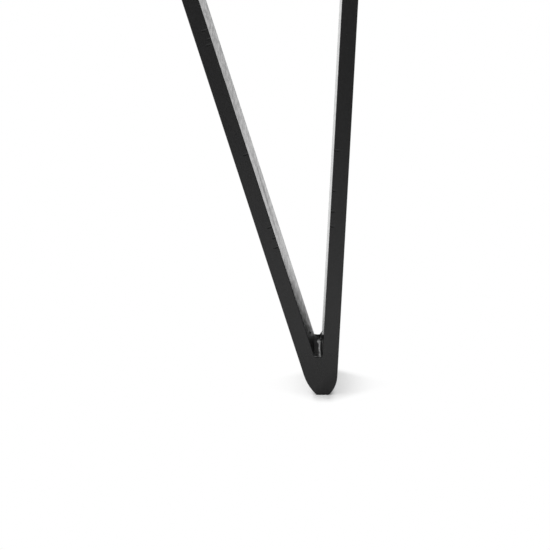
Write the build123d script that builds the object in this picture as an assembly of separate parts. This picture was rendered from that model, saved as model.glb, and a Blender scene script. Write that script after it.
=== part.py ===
from build123d import *

import os
from math import cos, radians, sin, tan

# A table leg. One flat steel bar is folded into a narrow V that stands on its fold, a weld run fills
# the inside corner of the fold, and a screw plate is welded across the two free ends.
# The origin is the middle of the plate's top face, +Z is up, and the V lies in the XZ plane.
# The leaning arm is on the -X side and the upright arm on the +X side.

# Driving dimensions, in millimetres and degrees
leg_height = 400.0  # floor to the plate's top face

bar_thickness = 10.0
bar_width = 50.0
bar_edge_radius = 0.5
opening_angle = 20.0  # between the two arms
lean_angle = 7.25  # of the line midway between the arms, off the vertical

heel_build_up = 1.0  # weld metal that makes the fold thicker than the bar, under its inside corner
leaning_shoulder_height = 13.0  # above the floor, where the nose leaves that arm's outer face
leaning_shoulder_inset = 4.1  # from that arm's outer face to the flat of the foot, along the floor
upright_shoulder_height = 12.0
upright_shoulder_inset = 4.6
toe_radius = 2.5  # between each shoulder and the flat of the foot

weld_front_depth = 14.8  # the weld's height above the fold's inside corner, at the front of the bar
weld_back_depth = 12.7
weld_groove_depth = 1.3  # of the hollow along the weld's surface
weld_groove_margin = 0.12  # by which the cutter of that hollow is wider than the weld, on each side at the front
weld_edge_radius = 0.4

plate_thickness = 5.0
plate_end_overhang = 16.0  # beyond each arm's outer face
plate_side_overhang = 20.0  # beyond the bar's front and back
plate_corner_radius = 8.0
plate_edge_radius = 0.6

screw_hole_diameter = 5.5
countersink_diameter = 11.0
countersink_angle = 90.0
hole_inset_x = 15.0  # from the plate's ends
hole_inset_y = 12.0  # from the plate's front and back

fillet_weld_leg = 5.0
fillet_weld_bulge = 0.5
fillet_weld_end_gap = 2.5  # short of the bar's front and back

LEANING, UPRIGHT = -1, 1
lean = {side: radians(opening_angle / 2 - side * lean_angle) for side in (LEANING, UPRIGHT)}
shoulder_height = {LEANING: leaning_shoulder_height, UPRIGHT: upright_shoulder_height}
shoulder_inset = {LEANING: leaning_shoulder_inset, UPRIGHT: upright_shoulder_inset}

floor_z = -leg_height
fold_z = floor_z + bar_thickness + heel_build_up
weld_z = fold_z + weld_front_depth
plate_underside = -plate_thickness


def arm_reach(side, depth, z):
    """Distance along X, at height z, from the fold to the layer depth mm outside an arm's inner face."""
    return (z - fold_z) * tan(lean[side]) + depth / cos(lean[side])


end_reach = {side: arm_reach(side, bar_thickness, plate_underside) for side in (LEANING, UPRIGHT)}
fold_x = (end_reach[LEANING] - end_reach[UPRIGHT]) / 2  # which centres the two arm ends on the plate
plate_length = end_reach[LEANING] + end_reach[UPRIGHT] + 2 * plate_end_overhang
plate_width = bar_width + 2 * plate_side_overhang


def on_arm(side, depth, z):
    """Point of an arm in the XZ plane."""
    return (fold_x + side * arm_reach(side, depth, z), z)


def filled_outline():
    """Side view of the V with its crotch filled by the weld and its nose dressed round."""
    foot = {}
    with BuildSketch(Plane.XZ) as outline:
        with BuildLine():
            for side in (LEANING, UPRIGHT):
                shoulder = on_arm(side, bar_thickness, floor_z + shoulder_height[side])
                arm_foot = on_arm(side, bar_thickness, floor_z)
                foot[side] = (arm_foot[0] - side * shoulder_inset[side], floor_z)
                outer_top = on_arm(side, bar_thickness, plate_underside)
                inner_top = on_arm(side, 0, plate_underside)
                Line(on_arm(side, 0, weld_z), inner_top)
                Line(inner_top, outer_top)
                Line(outer_top, shoulder)
                TangentArc(shoulder, foot[side], tangent=(-side * sin(lean[side]), -cos(lean[side])))
            Line(foot[LEANING], foot[UPRIGHT])
            Line(on_arm(LEANING, 0, weld_z), on_arm(UPRIGHT, 0, weld_z))
        make_face()
        fillet(outline.vertices().group_by(Axis.Y)[0], toe_radius)
    return outline.sketch


def filled_bar():
    """The V and its weld in one, with the bar's long edges rounded from the plate down to the weld."""
    blank = extrude(filled_outline(), bar_width / 2, both=True)
    sides = blank.faces().filter_by(Axis.Y)
    weld_top, arm_ends = blank.faces().filter_by(Axis.Z).group_by(Axis.Z)[1:]
    return fillet(sides.edges() - arm_ends.edges() - weld_top.edges(), bar_edge_radius)


def crotch_space():
    """The wedge of space between the arms' inner faces that the weld run lies in."""
    wedge_top = fold_z + 2 * weld_front_depth
    corners = [(fold_x, fold_z), on_arm(UPRIGHT, 0, wedge_top), on_arm(LEANING, 0, wedge_top)]
    wedge = Plane.XZ * Polygon(*corners, align=None)
    return extrude(wedge, bar_width, both=True)


def groove_cutter():
    """Round bar that hollows the weld's surface and falls towards the back."""
    half_width = (arm_reach(LEANING, 0, weld_z) + arm_reach(UPRIGHT, 0, weld_z)) / 2 + weld_groove_margin
    radius = (half_width**2 + weld_groove_depth**2) / (2 * weld_groove_depth)
    ends = []
    for y, depth in ((-bar_width / 2, weld_front_depth), (bar_width / 2, weld_back_depth)):
        toes = [on_arm(side, 0, fold_z + depth)[0] for side in (LEANING, UPRIGHT)]
        ends.append(Vector(sum(toes) / 2, y, fold_z + depth - weld_groove_depth + radius))
    front, back = ends
    section = Plane((front + back) / 2, z_dir=back - front) * Circle(radius)
    return extrude(section, bar_width, both=True)


def crotch_weld(run):
    """The weld run, with a hollow surface that rounds over at the front and back of the bar."""
    hollowed = run - groove_cutter()
    lips = hollowed.faces().filter_by(GeomType.CYLINDER).edges().group_by(Axis.Y)
    return fillet(lips[0] + lips[-1], weld_edge_radius)


def mounting_plate():
    """Flat plate with a screw hole in each corner, countersunk from below."""
    plate = Pos(Z=plate_underside) * extrude(
        RectangleRounded(plate_length, plate_width, plate_corner_radius), plate_thickness
    )
    rims = plate.faces().filter_by(Axis.Z).edges()
    plate = fillet(rims, plate_edge_radius)
    hole = CounterSinkHole(
        screw_hole_diameter / 2, countersink_diameter / 2, plate_thickness, countersink_angle
    )
    from_below = Plane((0, 0, plate_underside), x_dir=(1, 0, 0), z_dir=(0, 0, -1))
    spacing = (plate_length - 2 * hole_inset_x, plate_width - 2 * hole_inset_y)
    return plate - from_below * GridLocations(*spacing, 2, 2) * hole


def fillet_weld(side, depth, outward):
    """Weld along one face of an arm, in the corner under the plate; outward is its side of that face."""
    root = on_arm(side, depth, plate_underside)
    plate_toe = (root[0] + outward * fillet_weld_leg, plate_underside)
    arm_toe = on_arm(side, depth, plate_underside - fillet_weld_leg * cos(lean[side]))
    with BuildSketch(Plane.XZ) as section:
        with BuildLine():
            Line(root, plate_toe)
            SagittaArc(plate_toe, arm_toe, outward * fillet_weld_bulge)
            Line(arm_toe, root)
        make_face()
    return extrude(section.sketch, bar_width / 2 - fillet_weld_end_gap, both=True)


def plate_welds():
    """One weld on the inner and one on the outer face of each arm."""
    return Compound(
        [
            fillet_weld(side, depth, outward)
            for side in (LEANING, UPRIGHT)
            for depth, outward in ((0, -side), (bar_thickness, side))
        ]
    )


filled = filled_bar()
space = crotch_space()
nodes = {
    "folded_bar": filled - space,
    "crotch_weld": crotch_weld(filled & space),
    "mounting_plate": mounting_plate(),
    "plate_welds": plate_welds(),
}

os.makedirs("parts", exist_ok=True)
for name, shape in nodes.items():
    export_step(shape, f"parts/{name}.step")
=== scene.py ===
from math import cos, floor, pi, radians, sin, sqrt, tan

import bpy
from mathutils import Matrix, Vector, noise


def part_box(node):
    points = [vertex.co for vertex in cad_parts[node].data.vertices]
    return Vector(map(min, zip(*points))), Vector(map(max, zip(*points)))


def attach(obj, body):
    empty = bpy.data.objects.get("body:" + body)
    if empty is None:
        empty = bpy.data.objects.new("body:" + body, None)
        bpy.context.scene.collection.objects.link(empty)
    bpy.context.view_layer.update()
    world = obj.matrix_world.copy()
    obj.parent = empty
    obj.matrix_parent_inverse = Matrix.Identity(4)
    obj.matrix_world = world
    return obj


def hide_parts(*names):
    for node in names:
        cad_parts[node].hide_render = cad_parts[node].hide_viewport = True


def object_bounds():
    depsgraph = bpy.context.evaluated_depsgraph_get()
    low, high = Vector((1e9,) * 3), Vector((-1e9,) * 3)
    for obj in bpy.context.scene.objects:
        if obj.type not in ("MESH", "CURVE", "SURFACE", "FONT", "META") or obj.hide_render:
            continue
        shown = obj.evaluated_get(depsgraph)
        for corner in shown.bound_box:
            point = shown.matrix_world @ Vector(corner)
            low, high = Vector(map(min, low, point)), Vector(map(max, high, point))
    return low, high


# A black powder-coated table leg: a folded flat bar with a weld run in its crotch and a screw plate on top.
# Lengths are in metres. +X is to the right of the photograph, +Y away from it and +Z up.

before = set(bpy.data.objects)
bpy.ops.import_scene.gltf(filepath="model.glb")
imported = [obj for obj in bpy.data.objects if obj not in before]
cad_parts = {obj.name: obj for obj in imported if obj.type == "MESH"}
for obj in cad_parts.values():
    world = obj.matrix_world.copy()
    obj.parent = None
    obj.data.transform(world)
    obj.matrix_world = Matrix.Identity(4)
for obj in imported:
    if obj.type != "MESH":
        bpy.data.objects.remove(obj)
cad_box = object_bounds()

MM = 0.001
LEANING, UPRIGHT = -1, 1

# The leg
lean = {LEANING: radians(17.25), UPRIGHT: radians(2.75)}  # of each arm, off the vertical
floor_z = cad_box[0].z
bar_low, bar_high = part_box("folded_bar")
weld_low, weld_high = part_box("crotch_weld")
weld_height = weld_high.z - weld_low.z
fold = Vector((weld_high.x - weld_height * tan(lean[UPRIGHT]), 0, weld_low.z))  # its inside corner
# Directions up each arm, and from its inner face to its outer one
arm_up = {side: Vector((side * sin(lean[side]), 0, cos(lean[side]))) for side in lean}
arm_out = {side: Vector((side * cos(lean[side]), 0, -sin(lean[side]))) for side in lean}
arm_end_tolerance = 0.01 * MM  # for the height of vertices in the arms' end faces

# Camera
camera_lens = 261.8 * MM
camera_sensor = 36 * MM
camera_elevation = radians(17.5)
camera_distance = 2.526
camera_aim = Vector((0.02137, 0, -0.32847))
camera_reach = 100  # how far it sees

# Light
ambient_level = 0.2
room_level = 0.15  # of what reflections see in front of the leg, next to the white behind it
room_edge = (-0.5, 0.1)  # backward part of a direction over which one becomes the other
key_place = Vector((-0.9, 0.05, 0.8))
key_target = Vector((-0.6, 0.05, floor_z))
key_size = (1.8, 2.4)
key_power = 36

# Floor
floor_colour = (0.95, 0.95, 0.95, 1)
floor_reach = 6.0

# Shadow on the floor, in two parts: a wide one, and a narrow one along the foot's edge
foot_middle = (fold.x + 0.8 * MM, -4.0 * MM)  # of the patch that both spread from
foot_half = (4.0 * MM, 25.8 * MM)  # half that patch's size
shadow_keep = (0.42, 0.50)  # share of each part that shows on the white floor
shadow_reach = (19 * MM, 2.5 * MM)  # over which each part fades to either side
shadow_shift = (1.7 * MM, 0)  # of each part's middle, to the right of the patch's
shadow_end = 12 * MM  # over which both fade to the front and the back
shadow_taper = 0.8  # how much shorter the shadow is, front and back, for each unit to the side

# Card on the floor that only reflections see
card_near, card_far = -0.22, -0.90  # where it starts to darken, and where it is darkest
card_dark = 0.34
card_skew = 0.8  # how much later it darkens to the left of the leg than in front of it
card_lift = 1 * MM  # above the floor

# Finish
coat_ior = 1.40
coat_dark = (0.008, 0.008, 0.0083, 1)
coat_light = (0.015, 0.015, 0.0154, 1)
bar_roughness = (0.19, 0.305)
weld_roughness = (0.05, 0.10)
rough_noise = (0.35, 0.65)  # values of the mottling between which the roughness changes
upright_share = 0.58  # of that roughness on the upright arm's inner face
smooth_middle = 98 * MM  # height above the fold of the middle of the smoothest stretch of coat
smooth_half = (40 * MM, 85 * MM)  # distances from it over which the coat gets rougher
smooth_share = 0.8  # of the roughness there
face_edge = (0.2 * MM, 0.5 * MM)  # distance from a flat face over which what is on it fades out
noise_middle = 0.5  # value that a noise varies about
peel_size = 1.6 * MM
peel_depth = 0.03 * MM
grain_size = 0.4 * MM
grain_depth = 0.0024 * MM
mottle_size = Vector((2.2, 9, 2.2)) * MM
mottle_depth = 0.065 * MM
mottle_outside = 0.2  # share of the mottling's contrast away from the inner faces
streak_size = Vector((5, 5, 60)) * MM
streak_depth = 0.08 * MM

# Thin, dry coat on the inner faces near the fold
dry_roughness = 0.275  # added to the coat's own
dry_reach = (20 * MM, 80 * MM)  # height above the fold over which it fades out
dry_tilt = 0.9  # how much further up it reaches at the front than at the back, for each unit of depth
dry_upright = 0.4  # share of it on the upright arm
dry_side = (0.5 * MM, 3 * MM)  # distance from the leaning arm over which that share is reached
dry_inside = (-1 * MM, -0.3 * MM)  # distance out of the arms' metal over which it starts
dry_front = 0.4 * MM  # distance behind the front edge over which it starts
speck_size = Vector((1.1, 11, 1.1)) * MM  # of its uneven spots
speck_noise = (0.3, 0.7)  # values of their noise between which the roughness changes
speck_contrast = 0.35  # share by which they are duller or shinier

# Duller band on the leaning arm's inner face
band_middle = (-1.3 * MM, 114 * MM)  # its place across the bar, and its height above the fold
band_slope = 0.18  # how far it shifts to the back for each unit of height
band_half = (10 * MM, 42 * MM)  # half its width, and half its length
band_share = 0.5  # of the dry coat's added roughness

# Nose
nose_line = (2 * MM, 12 * MM)  # height above the floor over which its duller coat fades out, under the fold
nose_slope = 1.0  # how much higher that reaches to the right of the fold, for each unit
nose_dull = 0.7  # share there of the dry coat's added roughness
painted_nose_shade_reach = (8 * MM, 36 * MM)  # height above the floor over which the painted shade at the nose's bottom fades out
painted_nose_shade = 0.35  # share of the coat's colour left at the bottom, darkened there as painted shade

# Thin, dry coat on the welds
steep_roughness = 0.66  # added to the coat's own
steep_range = (0.88, 0.965)  # upward part of the surface's normal over which it fades out
end_range = (0.7, 0.95)  # forward or backward part of the normal over which a weld's end begins
end_share = 0.3  # of that roughness on the ends

# Tool marks across the front edge of the bar: arm, distance up the arm from the fold, and length
tool_marks = (
    (LEANING, 237.0 * MM, 5.5 * MM),
    (LEANING, 231.0 * MM, 3.5 * MM),
    (LEANING, 227.5 * MM, 5.5 * MM),
    (LEANING, 154.0 * MM, 4.0 * MM),
    (LEANING, 104.7 * MM, 4.0 * MM),
    (LEANING, 97.3 * MM, 2.5 * MM),
    (LEANING, 91.0 * MM, 4.0 * MM),
    (UPRIGHT, 149.5 * MM, 4.2 * MM),
    (UPRIGHT, 123.5 * MM, 3.2 * MM),
    (UPRIGHT, 110.0 * MM, 4.0 * MM),
    (UPRIGHT, 100.3 * MM, 3.5 * MM),
)
mark_half_width = 0.75 * MM
mark_lead = 0.6 * MM  # distance before the arm's inner face over which a mark starts
mark_full = 0.3  # share of its length that has its full depth
mark_depth = 0.30 * MM
painted_mark_shade = 0.65  # share of the coat's colour left in their bottoms, darkened there as painted shade

# Shading and noise of the welds
sharp_angle = radians(60)  # between faces that don't shade into each other
seed_steps = (7.31, 3.17)  # between the lines of the noise that one seed and the next follow

# Crotch weld: place along the run, then its valley's depth, place between the arms (0 to 1) and half width
weld_course = (
    (-25 * MM, 0.3 * MM, 0.68, 0.05),
    (-22.5 * MM, 1.4 * MM, 0.68, 0.07),
    (8 * MM, 1.7 * MM, 0.67, 0.08),
    (14 * MM, 1.8 * MM, 0.63, 0.25),
    (18 * MM, 1.9 * MM, 0.68, 0.22),
    (21 * MM, 2.0 * MM, 0.80, 0.10),
    (23.4 * MM, 2.0 * MM, 0.83, 0.08),
    (24.7 * MM, 0, 0.84, 0.06),
)
flank_curve = 1.3  # power that the surface rises with, from the valley to the arms
back_fall = 1.62 * MM  # of the run's edges, from front to back
back_climb = 2.0 * MM  # up the upright arm, at the back end
back_climb_run = 5 * MM  # length over which it climbs
back_climb_width = 0.3  # as a share of the way from the upright arm to the leaning one
lip_radius = 0.6 * MM
lip_waver = 0.6  # share by which that radius varies
lip_noise = (4, 0.5, 9.1)  # changes across the weld, and the line of the noise that they follow
ripple_pitch = 2.4 * MM
ripple_height = 0.06 * MM
valley_ripple = 0.15  # share of that height left in the valley
ripple_bow = 1.3 * MM  # how far a ripple's middle trails its ends
lumps_across = 3
lump_length = 1.3 * MM
lump_layer = 2.7  # of the noise that the lumps follow
weld_columns = 32
weld_rows = 320
weld_end_rows = 12
weld_end = 1.2 * MM  # length at each end with rows that are closer together

# Unevenness along the runs: seed, size and length of each wave
toe_waves = ((3, 0.3 * MM, 4 * MM), (5, 0.12 * MM, 1.4 * MM))
valley_waves = ((11, 0.06, 5 * MM), (12, 0.04, 2.1 * MM))
ripple_waves = ((13, 2.2, 6 * MM),)
scallop_waves = ((21, 0.25, 9 * MM),)
bead_leg_waves = ((22, 0.05, 3 * MM),)

# Spatter on the inner faces: arm, place across the bar, distance up the arm from the fold, and radius
spatter = (
    (LEANING, -0.8 * MM, 23.6 * MM, 0.60 * MM),
    (LEANING, 12.0 * MM, 19.5 * MM, 0.35 * MM),
    (UPRIGHT, 6.0 * MM, 21.0 * MM, 0.40 * MM),
)
ball_rings = 7
ball_steps = 12
ball_flatness = 0.8  # height of a speck as a share of its width

# Weld beads under the plate
bead_leg = 5.0 * MM
bead_bulge = 0.5 * MM
bead_pitch = 2.3 * MM
bead_ripple = 0.22 * MM
bead_bow = 2.2 * MM
bead_round = 2.5 * MM  # length over which a bead rounds off
bead_tip = 0.04  # share of its size left at its very ends
bead_columns = 14
bead_rows = 240
bead_end_rows = 10
bead_end = 2.0 * MM  # length at each end with rows that are closer together


def smooth_step(low, high, value):
    """0 below low, 1 above high and a smooth rise between them."""
    t = min(max((value - low) / (high - low), 0), 1)
    return t * t * (3 - 2 * t)


def wobble(seed, place, length):
    """Repeatable noise of about -1 to 1 along a run."""
    return noise.noise(Vector((place / length, seed * seed_steps[0], seed * seed_steps[1])))


def waver(waves, place, shift=0):
    """Sum of several waves of noise along a run; shift changes their seeds."""
    return sum(size * wobble(seed + shift, place, length) for seed, size, length in waves)


# Shader nodes


def link(tree, source, target):
    """Connect two sockets."""
    tree.links.new(source, target)


def math_node(tree, operation, *values):
    """Math node whose inputs are sockets or plain numbers."""
    node = tree.nodes.new("ShaderNodeMath")
    node.operation = operation
    for socket, value in zip(node.inputs, values):
        if isinstance(value, bpy.types.NodeSocket):
            link(tree, value, socket)
        else:
            socket.default_value = value
    return node.outputs["Value"]


def product(tree, first, *others):
    """Product of several sockets or plain numbers."""
    for other in others:
        first = math_node(tree, "MULTIPLY", first, other)
    return first


def range_node(tree, value, low, high, to_low, to_high):
    """Smooth change from one number to another as a socket goes from low to high."""
    node = tree.nodes.new("ShaderNodeMapRange")
    node.interpolation_type = "SMOOTHSTEP"
    for name, number in (("From Min", low), ("From Max", high), ("To Min", to_low), ("To Max", to_high)):
        node.inputs[name].default_value = number
    link(tree, value, node.inputs["Value"])
    return node.outputs["Result"]


def split_node(tree, vector):
    """The three parts of a vector."""
    node = tree.nodes.new("ShaderNodeSeparateXYZ")
    link(tree, vector, node.inputs["Vector"])
    return node.outputs["X"], node.outputs["Y"], node.outputs["Z"]


def object_place(tree):
    """Place of a point, as a vector and split into its three parts."""
    place = tree.nodes.new("ShaderNodeTexCoord").outputs["Object"]
    return place, *split_node(tree, place)


def noise_node(tree, place, size, detail=2.0):
    """Noise with features of the given size, which may differ along X, Y and Z."""
    scaled = tree.nodes.new("ShaderNodeVectorMath")
    scaled.operation = "DIVIDE"
    scaled.inputs[1].default_value = size if isinstance(size, Vector) else (size, size, size)
    link(tree, place, scaled.inputs[0])
    node = tree.nodes.new("ShaderNodeTexNoise")
    node.inputs["Scale"].default_value = 1.0
    node.inputs["Detail"].default_value = detail
    link(tree, scaled.outputs["Vector"], node.inputs["Vector"])
    return node.outputs["Fac"]


def bump_node(tree, height, depth, normal=None):
    """Normal of a surface with relief of the given depth, on top of any relief before it."""
    node = tree.nodes.new("ShaderNodeBump")
    node.inputs["Distance"].default_value = depth
    link(tree, height, node.inputs["Height"])
    if normal is not None:
        link(tree, normal, node.inputs["Normal"])
    return node.outputs["Normal"]


def along_node(tree, place, direction, start):
    """Distance of a point along a direction, from a starting point."""
    node = tree.nodes.new("ShaderNodeVectorMath")
    node.operation = "DOT_PRODUCT"
    node.inputs[1].default_value = direction
    link(tree, place, node.inputs[0])
    return math_node(tree, "SUBTRACT", node.outputs["Value"], direction.dot(start))


# Finish


def off_plane(tree, place, side):
    """Distance of a point from the plane that an arm's inner face lies in."""
    return math_node(tree, "ABSOLUTE", along_node(tree, place, arm_out[side], fold))


def off_inner_faces(tree, place):
    """Distance of a point from the nearer of the two planes that the arms' inner faces lie in."""
    return math_node(tree, "MINIMUM", *[off_plane(tree, place, side) for side in lean])


def dry_coat(tree, place, across, height):
    """1 on the inner faces near the fold, where powder settles thin and dry; 0 elsewhere."""
    off_leaning = along_node(tree, place, -arm_out[LEANING], fold)
    off_upright = along_node(tree, place, -arm_out[UPRIGHT], fold)
    inside = range_node(tree, math_node(tree, "MINIMUM", off_leaning, off_upright), *dry_inside, 0, 1)
    reach = math_node(tree, "MULTIPLY_ADD", across, dry_tilt, height)
    near_fold = range_node(tree, reach, fold.z + dry_reach[0], fold.z + dry_reach[1], 1, 0)
    by_side = range_node(tree, off_leaning, *dry_side, 1, dry_upright)
    behind_front = range_node(tree, across, bar_low.y, bar_low.y + dry_front, 0, 1)
    return product(tree, inside, near_fold, by_side, behind_front)


def dull_band(tree, place, across, height):
    """1 along a slanting band on the leaning arm's inner face; 0 elsewhere."""
    on_face = range_node(tree, off_plane(tree, place, LEANING), *face_edge, 1, 0)
    along = math_node(tree, "SUBTRACT", height, fold.z + band_middle[1])
    off_middle = math_node(tree, "SUBTRACT", across, band_middle[0])
    aside = math_node(tree, "ABSOLUTE", math_node(tree, "MULTIPLY_ADD", along, -band_slope, off_middle))
    width = range_node(tree, aside, 0, band_half[0], 1, 0)
    length = range_node(tree, math_node(tree, "ABSOLUTE", along), 0, band_half[1], 1, 0)
    return product(tree, on_face, width, length)


def dull_nose(tree, place):
    """1 at the bottom of the nose, higher up on its right; 0 elsewhere."""
    rise = along_node(tree, place, Vector((-nose_slope, 0, 1)), Vector((fold.x, 0, floor_z)))
    return range_node(tree, rise, *nose_line, 1, 0)


def bar_dullness(tree):
    """Share of the dry coat's added roughness on the bar and the plate."""
    place, _, across, height = object_place(tree)
    band = product(tree, dull_band(tree, place, across, height), band_share)
    nose = product(tree, dull_nose(tree, place), nose_dull)
    marked = math_node(tree, "MAXIMUM", band, nose)
    specks = noise_node(tree, place, speck_size, detail=1)
    unevenness = range_node(tree, specks, *speck_noise, 1 - speck_contrast, 1 + speck_contrast)
    dry = product(tree, dry_coat(tree, place, across, height), unevenness)
    return math_node(tree, "MAXIMUM", dry, marked)


def weld_dullness(tree):
    """1 on a weld's steep flanks, where powder settles thin and dry; 0 on its level parts."""
    _, backward, upward = split_node(tree, tree.nodes.new("ShaderNodeNewGeometry").outputs["Normal"])
    steep = range_node(tree, upward, *steep_range, 1, 0)
    ends = range_node(tree, math_node(tree, "ABSOLUTE", backward), *end_range, 1, end_share)
    return product(tree, steep, ends)


def mark_height(tree, place, across):
    """Height of the front edge's surface: 1, and lower in the tool marks."""
    deepest = None
    for side, distance, length in tool_marks:
        start = fold + arm_up[side] * distance
        off_line = math_node(tree, "ABSOLUTE", along_node(tree, place, arm_up[side], start))
        into = along_node(tree, place, arm_out[side], start)
        stroke = range_node(tree, off_line, 0, mark_half_width, 1, 0)
        begins = range_node(tree, into, -mark_lead, 0, 0, 1)
        ends = range_node(tree, into, mark_full * length, length, 1, 0)
        mark = product(tree, stroke, begins, ends)
        deepest = mark if deepest is None else math_node(tree, "MAXIMUM", deepest, mark)
    on_front = range_node(tree, across, bar_low.y + face_edge[0], bar_low.y + face_edge[1], 1, 0)
    return math_node(tree, "SUBTRACT", 1.0, product(tree, deepest, on_front))


def coat_mottle(tree, place):
    """Soft spots, which stand out most on the arms' inner faces."""
    spots = math_node(tree, "SUBTRACT", noise_node(tree, place, mottle_size), noise_middle)
    contrast = range_node(tree, off_inner_faces(tree, place), *face_edge, 1, mottle_outside)
    return math_node(tree, "MULTIPLY_ADD", spots, contrast, noise_middle)


def coat_colour(tree, height, grain, marks):
    """Black with a fine grain, with painted shade on the nose's bottom and in the tool marks."""
    colour = tree.nodes.new("ShaderNodeMix")
    colour.data_type = "RGBA"
    colour.inputs["A"].default_value = coat_dark
    colour.inputs["B"].default_value = coat_light
    link(tree, grain, colour.inputs["Factor"])
    # Painted shade: the colour darkens towards the floor at the nose's bottom
    nose = range_node(tree, height, floor_z + painted_nose_shade_reach[0], floor_z + painted_nose_shade_reach[1], painted_nose_shade, 1)
    # Painted shade in the bottoms of the tool marks
    painted_groove_shade = range_node(tree, marks, 0, 1, painted_mark_shade, 1)
    painted_shade = tree.nodes.new("ShaderNodeVectorMath")
    painted_shade.operation = "SCALE"
    link(tree, colour.outputs["Result"], painted_shade.inputs["Vector"])
    link(tree, product(tree, nose, painted_groove_shade), painted_shade.inputs["Scale"])
    return painted_shade.outputs["Vector"]


def coat_roughness(tree, place, height, mottle, rough_range):
    """Mottled roughness, lower on the upright arm's inner face and about one height above the fold."""
    off_upright = off_plane(tree, place, UPRIGHT)
    off_middle = math_node(tree, "ABSOLUTE", math_node(tree, "SUBTRACT", height, fold.z + smooth_middle))
    uneven = range_node(tree, mottle, *rough_noise, *rough_range)
    by_side = range_node(tree, off_upright, *face_edge, upright_share, 1)
    by_height = range_node(tree, off_middle, *smooth_half, smooth_share, 1)
    return product(tree, uneven, math_node(tree, "MINIMUM", by_side, by_height))


def coat_relief(tree, place, mottle, grain, marks):
    """Normal of a coat with streaks, mottling, orange peel, a fine grain and tool marks."""
    streak = noise_node(tree, place, streak_size)
    peel = noise_node(tree, place, peel_size)
    normal = bump_node(tree, streak, streak_depth)
    normal = bump_node(tree, mottle, mottle_depth, normal)
    normal = bump_node(tree, peel, peel_depth, normal)
    normal = bump_node(tree, grain, grain_depth, normal)
    return bump_node(tree, marks, mark_depth, normal)


def powder_coat(name, rough_range, dullness, dull_roughness):
    """Satin black powder coat; dullness makes the mask of the places where it is rougher."""
    material = bpy.data.materials.new(name)
    material.use_nodes = True
    tree = material.node_tree
    place, _, across, height = object_place(tree)
    grain = noise_node(tree, place, grain_size, detail=1)
    mottle = coat_mottle(tree, place)
    marks = mark_height(tree, place, across)
    own = coat_roughness(tree, place, height, mottle, rough_range)
    dull = product(tree, dullness(tree), dull_roughness)
    shader = tree.nodes["Principled BSDF"]
    shader.inputs["IOR"].default_value = coat_ior
    link(tree, coat_colour(tree, height, grain, marks), shader.inputs["Base Color"])
    link(tree, math_node(tree, "ADD", own, dull), shader.inputs["Roughness"])
    link(tree, coat_relief(tree, place, mottle, grain, marks), shader.inputs["Normal"])
    return material


# Weld runs


def run_places(low, high, count, end_count, end_length):
    """Places along a run, closer together at both ends."""
    ends = [end_length * (k / end_count) ** 2 for k in range(end_count)]
    middle = high - low - 2 * end_length
    places = [low + e for e in ends]
    places += [low + end_length + middle * k / count for k in range(count + 1)]
    places += [high - e for e in reversed(ends)]
    return places


def tube_faces(first, ring, count):
    """Faces of a closed tube of count rings of vertices, with both ends shut."""
    faces = []
    for j in range(count - 1):
        a, b = first + j * ring, first + (j + 1) * ring
        faces += [(a + i, a + (i + 1) % ring, b + (i + 1) % ring, b + i) for i in range(ring)]
    last = first + (count - 1) * ring
    faces.append(tuple(reversed(range(first, first + ring))))
    faces.append(tuple(range(last, last + ring)))
    return faces


def new_piece(name, vertices, faces, node):
    """Mesh piece that stands for a CAD node."""
    mesh = bpy.data.meshes.new(name)
    mesh.from_pydata([tuple(v) for v in vertices], [], faces)
    mesh.update()
    mesh.shade_smooth()
    mesh.set_sharp_from_angle(angle=sharp_angle)
    piece = bpy.data.objects.new(name, mesh)
    bpy.context.scene.collection.objects.link(piece)
    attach(piece, "root")
    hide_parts(node)
    return piece


def course_at(y):
    """The crotch weld's valley at one place along the run: its depth, place and half width."""
    for (low, *before), (high, *after) in zip(weld_course, weld_course[1:]):
        if y <= high:
            break
    share = smooth_step(low, high, y)
    return [a + (b - a) * share for a, b in zip(before, after)]


def weld_toe(side, y):
    """Where the crotch weld's surface meets an arm, at one place along the run."""
    height = weld_height - back_fall * (y - weld_low.y) / (weld_high.y - weld_low.y)
    height += waver(toe_waves, y, side)
    return Vector((fold.x + side * height * tan(lean[side]), y, fold.z + height))


def ripple_at(across, y, from_valley):
    """Height of the crotch weld's ripples and lumps; from_valley is 0 in the valley and 1 at the arms."""
    height = ripple_height * (valley_ripple + (1 - valley_ripple) * from_valley)
    trail = ripple_bow * (1 - from_valley**2)
    phase = 2 * pi * (y + trail) / ripple_pitch + waver(ripple_waves, y)
    lumps = noise.noise(Vector((across * lumps_across, y / lump_length, lump_layer)))
    return height * (sin(phase) + lumps) * sin(pi * across)


def weld_surface(across, y):
    """Point of the crotch weld's surface; across runs from the leaning arm to the upright one."""
    point = weld_toe(LEANING, y).lerp(weld_toe(UPRIGHT, y), across)
    climb = back_climb * smooth_step(weld_high.y - back_climb_run, weld_high.y, y)
    point += arm_up[UPRIGHT] * climb * smooth_step(1 - back_climb_width, 1, across)
    depth, valley, half = course_at(y)
    valley += waver(valley_waves, y)
    flank = (valley if across < valley else 1 - valley) - half
    from_valley = max((abs(across - valley) - half) / flank, 0)
    point.z += ripple_at(across, y, from_valley) - depth * (1 - from_valley**flank_curve)
    return point


def lip_drop(across, y):
    """How far the surface rounds down towards the front and back of the bar."""
    changes, *line = lip_noise
    radius = lip_radius * (1.0 + lip_waver * noise.noise(Vector((across * changes, *line))))
    inset = min(y - weld_low.y, weld_high.y - y)
    if inset >= radius:
        return 0
    return radius - sqrt(radius**2 - (radius - inset) ** 2)


def spatter_ball(side, y, distance, radius):
    """Rings of vertices of a small ball that is half sunk in an arm's inner face."""
    centre = fold + arm_up[side] * distance + Vector((0, y, 0))
    vertices = []
    for ring in range(1, ball_rings + 1):
        tilt = pi * ring / (ball_rings + 1)
        for step in range(ball_steps):
            turn = 2 * pi * step / ball_steps
            away = arm_up[side] * cos(turn) + Vector((0, sin(turn), 0))
            outward = away * sin(tilt) + ball_flatness * arm_out[side] * cos(tilt)
            vertices.append(centre + radius * outward)
    return vertices


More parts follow.
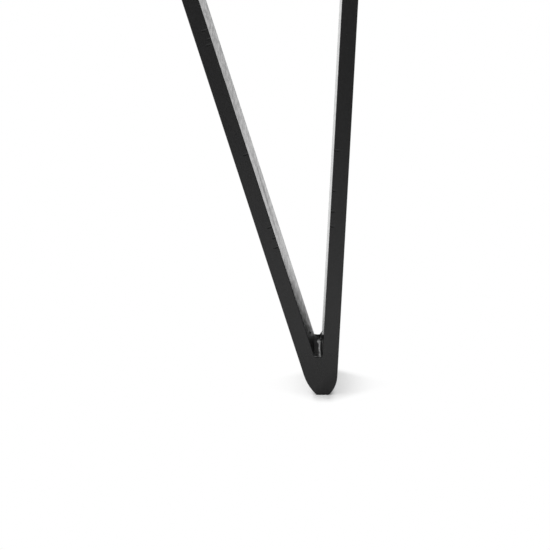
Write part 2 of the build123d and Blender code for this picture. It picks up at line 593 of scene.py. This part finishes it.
def crotch_weld_piece():
    """The weld run between the arms, with a rippled top and flat sides against the bar, and its spatter."""
    places = run_places(weld_low.y, weld_high.y, weld_rows, weld_end_rows, weld_end)
    vertices = []
    for y in places:
        corner = Vector((fold.x, y, fold.z))
        for i in range(weld_columns + 1):
            across = i / weld_columns
            point = weld_surface(across, y)
            drop = lip_drop(across, y) / (point.z - corner.z)
            vertices.append(point.lerp(corner, drop))
        vertices.append(corner)
    faces = tube_faces(0, weld_columns + 2, len(places))
    for ball in spatter:
        faces += tube_faces(len(vertices), ball_steps, ball_rings)
        vertices += spatter_ball(*ball)
    return new_piece("crotch_weld_run", vertices, faces, "crotch_weld")


def bead_point(root, outward, arm_down, across, y, fullness):
    """Point of a bead's surface; across runs from the plate to the arm."""
    phase = (y + bead_bow * sin(pi * across)) / bead_pitch + waver(scallop_waves, y)
    scallop = 1 - (2 * (phase - floor(phase)) - 1) ** 2
    leg = bead_leg * fullness * (1 + waver(bead_leg_waves, y, outward))
    plate_toe = Vector((outward * leg, 0, 0))
    arm_toe = arm_down * leg
    swell = (bead_bulge + bead_ripple * (scallop - 0.5)) * fullness * sin(pi * across)
    away = (Vector((outward, 0, 0)) + arm_down).normalized()
    return root + Vector((0, y, 0)) + plate_toe.lerp(arm_toe, across) + away * swell


def bead_rings(root, outward, arm_down, places):
    """Rings of vertices of one bead, from one end to the other."""
    vertices = []
    for y in places:
        inset = min(y - places[0], places[-1] - y, bead_round) / bead_round
        fullness = max(sqrt(1 - (1 - inset) ** 2), bead_tip)
        for i in range(bead_columns + 1):
            vertices.append(bead_point(root, outward, arm_down, i / bead_columns, y, fullness))
        vertices.append(root + Vector((0, y, 0)))
    return vertices


def plate_weld_piece():
    """Scalloped weld beads in the corners between the plate and both faces of each arm."""
    low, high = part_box("plate_welds")
    top = bar_high.z
    bar_points = [vertex.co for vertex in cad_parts["folded_bar"].data.vertices]
    end_x = [point.x for point in bar_points if point.z > top - arm_end_tolerance]
    places = run_places(low.y, high.y, bead_rows, bead_end_rows, bead_end)
    vertices, faces = [], []
    for side in (LEANING, UPRIGHT):
        arm_x = [x for x in end_x if x * side > 0]
        for root_x, outward in ((min(arm_x), -1), (max(arm_x), 1)):
            rings = bead_rings(Vector((root_x, 0, top)), outward, -arm_up[side], places)
            run = tube_faces(len(vertices), bead_columns + 2, len(places))
            faces += run if outward > 0 else [tuple(reversed(face)) for face in run]
            vertices += rings
    return new_piece("plate_weld_beads", vertices, faces, "plate_welds")


# Stage


def flat_stage(name, x_range, y_range, z, material):
    """Level rectangle that isn't part of the leg."""
    (x0, x1), (y0, y1) = x_range, y_range
    mesh = bpy.data.meshes.new(name)
    mesh.from_pydata([(x0, y0, z), (x1, y0, z), (x1, y1, z), (x0, y1, z)], [], [(0, 1, 2, 3)])
    mesh.materials.append(material)
    piece = bpy.data.objects.new(name, mesh)
    bpy.context.scene.collection.objects.link(piece)
    return piece


def beyond_node(tree, value, middle, half):
    """How far a number lies outside a stretch, either way; negative inside it."""
    off_middle = math_node(tree, "ABSOLUTE", math_node(tree, "SUBTRACT", value, middle))
    return math_node(tree, "SUBTRACT", off_middle, half)


def white_share(tree):
    """Share of the floor's look that is plain white: little at the foot and all of it further off."""
    _, x, y, _ = object_place(tree)
    beyond = beyond_node(tree, y, foot_middle[1], foot_half[1])
    parts = []
    for keep, reach, shift in zip(shadow_keep, shadow_reach, shadow_shift):
        off_foot = beyond_node(tree, x, foot_middle[0] + shift, foot_half[0])
        aside = math_node(tree, "MAXIMUM", off_foot, 0.0)
        side_fade = math_node(tree, "EXPONENT", product(tree, aside, aside, -1 / reach**2))
        past_end = math_node(tree, "MULTIPLY_ADD", aside, shadow_taper, beyond)
        end_fade = range_node(tree, past_end, 0, shadow_end, keep, 0)
        parts.append(product(tree, side_fade, end_fade))
    return math_node(tree, "SUBTRACT", 1.0, math_node(tree, "ADD", *parts))


def seen_node(tree, path):
    """1 for what the camera sees, also in reflections and through clear things; 0 for light on its way."""
    beyond = math_node(tree, "MAXIMUM", path["Is Glossy Ray"], path["Is Transmission Ray"])
    return math_node(tree, "MAXIMUM", path["Is Camera Ray"], beyond)


def floor_material():
    """Matt pale floor that shows the shadow round the foot and is plain white further off."""
    material = bpy.data.materials.new("pale_floor")
    material.use_nodes = True
    tree = material.node_tree
    shader = tree.nodes["Principled BSDF"]
    shader.inputs["Base Color"].default_value = floor_colour
    shader.inputs["Roughness"].default_value = 1.0
    shader.inputs["Specular IOR Level"].default_value = 0.0
    white = tree.nodes.new("ShaderNodeEmission")
    seen = seen_node(tree, tree.nodes.new("ShaderNodeLightPath").outputs)
    blend = tree.nodes.new("ShaderNodeMixShader")
    link(tree, product(tree, seen, white_share(tree)), blend.inputs["Fac"])
    link(tree, shader.outputs["BSDF"], blend.inputs[1])
    link(tree, white.outputs["Emission"], blend.inputs[2])
    link(tree, blend.outputs["Shader"], tree.nodes["Material Output"].inputs["Surface"])
    return material


def card_material():
    """Pale glow that darkens away from the leg."""
    material = bpy.data.materials.new("reflection_card")
    material.use_nodes = True
    tree = material.node_tree
    tree.nodes.clear()
    _, x, y, _ = object_place(tree)
    near = math_node(tree, "MULTIPLY_ADD", x, -card_skew, y)
    grey = tree.nodes.new("ShaderNodeEmission")
    link(tree, range_node(tree, near, card_far, card_near, card_dark, 1), grey.inputs["Strength"])
    output = tree.nodes.new("ShaderNodeOutputMaterial")
    link(tree, grey.outputs["Emission"], output.inputs["Surface"])
    return material


def studio_floor():
    """Wide pale floor, and a card on it in front of the leg that only reflections see."""
    reach = (-floor_reach, floor_reach)
    card_depth = (-floor_reach, card_near)
    flat_stage("floor", reach, reach, floor_z, floor_material())
    card = flat_stage("reflection_card", reach, card_depth, floor_z + card_lift, card_material())
    card.visible_camera = False
    card.visible_diffuse = False
    card.visible_transmission = False
    card.visible_shadow = False


def softbox(name, place, target, size, power):
    """Rectangular lamp that faces its target and that the camera doesn't see."""
    data = bpy.data.lights.new(name, "AREA")
    data.shape = "RECTANGLE"
    data.size, data.size_y = size
    data.energy = power
    lamp = bpy.data.objects.new(name, data)
    lamp.location = place
    lamp.rotation_euler = (target - place).to_track_quat("-Z", "Y").to_euler()
    lamp.visible_camera = False
    bpy.context.scene.collection.objects.link(lamp)


def background(tree, strength):
    """White background of a strength that is a number or a socket."""
    node = tree.nodes.new("ShaderNodeBackground")
    node.inputs["Color"].default_value = (1, 1, 1, 1)
    if isinstance(strength, bpy.types.NodeSocket):
        link(tree, strength, node.inputs["Strength"])
    else:
        node.inputs["Strength"].default_value = strength
    return node.outputs["Background"]


def studio_world():
    """Even dim light; the camera sees a white backdrop, and reflections see it behind a dimmer room."""
    world = bpy.data.worlds.new("studio")
    bpy.context.scene.world = world
    world.use_nodes = True
    tree = world.node_tree
    tree.nodes.clear()
    path = tree.nodes.new("ShaderNodeLightPath").outputs
    direction = tree.nodes.new("ShaderNodeTexCoord").outputs["Generated"]
    _, backward, _ = split_node(tree, direction)
    room = range_node(tree, backward, *room_edge, room_level, 1)
    backdrop = math_node(tree, "MAXIMUM", path["Is Camera Ray"], room)
    blend = tree.nodes.new("ShaderNodeMixShader")
    link(tree, seen_node(tree, path), blend.inputs["Fac"])
    link(tree, background(tree, ambient_level), blend.inputs[1])
    link(tree, background(tree, backdrop), blend.inputs[2])
    output = tree.nodes.new("ShaderNodeOutputWorld")
    link(tree, blend.outputs["Shader"], output.inputs["Surface"])


def photo_camera():
    """Camera at the photograph's viewing angle."""
    data = bpy.data.cameras.new("photo_camera")
    data.sensor_width = camera_sensor / MM
    data.lens = camera_lens / MM
    data.clip_end = camera_reach
    camera = bpy.data.objects.new("photo_camera", data)
    away = Vector((0, -cos(camera_elevation), sin(camera_elevation)))
    camera.location = camera_aim + camera_distance * away
    camera.rotation_euler = (-away).to_track_quat("-Z", "Y").to_euler()
    bpy.context.scene.collection.objects.link(camera)
    bpy.context.scene.camera = camera


def dress(pieces, material):
    """Give pieces one material."""
    for piece in pieces:
        piece.data.materials.clear()
        piece.data.materials.append(material)


dress(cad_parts.values(), powder_coat("bar_coat", bar_roughness, bar_dullness, dry_roughness))
weld_coat = powder_coat("weld_coat", weld_roughness, weld_dullness, steep_roughness)
dress([crotch_weld_piece(), plate_weld_piece()], weld_coat)

studio_floor()
softbox("key", key_place, key_target, key_size, key_power)
studio_world()
photo_camera()
bpy.context.scene.view_settings.view_transform = "Standard"
